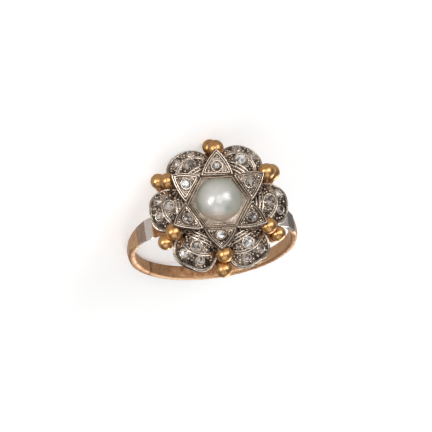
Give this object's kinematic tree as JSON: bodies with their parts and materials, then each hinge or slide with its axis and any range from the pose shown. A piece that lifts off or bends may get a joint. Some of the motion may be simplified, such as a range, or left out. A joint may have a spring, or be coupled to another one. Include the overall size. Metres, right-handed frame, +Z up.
{
  "type": "pearl ring",
  "caption": "Finger ring lying on its side: round pearl in a six-pointed star, ringed by domed stone-set petals and bead pairs, on a plain band.",
  "frame": {"origin": "on the floor, below the middle of the bounding box of the ring lying on its side", "axes": "+Z up; the head faces -Y and a little up; the axis of the finger hole leans about 24 degrees from +Z"},
  "size_m": [0.0188, 0.0238, 0.015],
  "materials": {
    "gold": "polished yellow and rose gold",
    "white_metal": "worn, slightly tarnished white metal, engraved",
    "stones": "clear single-cut stones",
    "pearl": "natural pearl with a soft lustre"
  },
  "bodies": {
    "root": {"shank_with_gallery": "gold", "shoulder_cap_left": "white_metal", "shoulder_cap_right": "white_metal", "star": "white_metal", "pearl": "pearl", "petal_1": "white_metal", "petal_2": "white_metal", "petal_3": "white_metal", "petal_4": "white_metal", "petal_5": "white_metal", "petal_6": "white_metal", "star_stone_1": "stones", "star_stone_2": "stones", "star_stone_3": "stones", "star_stone_4": "stones", "star_stone_5": "stones", "star_stone_6": "stones", "petal_stone_1_1": "stones", "petal_stone_1_2": "stones", "petal_stone_1_3": "stones", "petal_stone_2_1": "stones", "petal_stone_2_2": "stones", "petal_stone_2_3": "stones", "petal_stone_3_1": "stones", "petal_stone_3_2": "stones", "petal_stone_3_3": "stones", "petal_stone_4_1": "stones", "petal_stone_4_2": "stones", "petal_stone_4_3": "stones", "petal_stone_5_1": "stones", "petal_stone_5_2": "stones", "petal_stone_5_3": "stones", "petal_stone_6_1": "stones", "petal_stone_6_2": "stones", "petal_stone_6_3": "stones"}
  },
  "joints": []
}
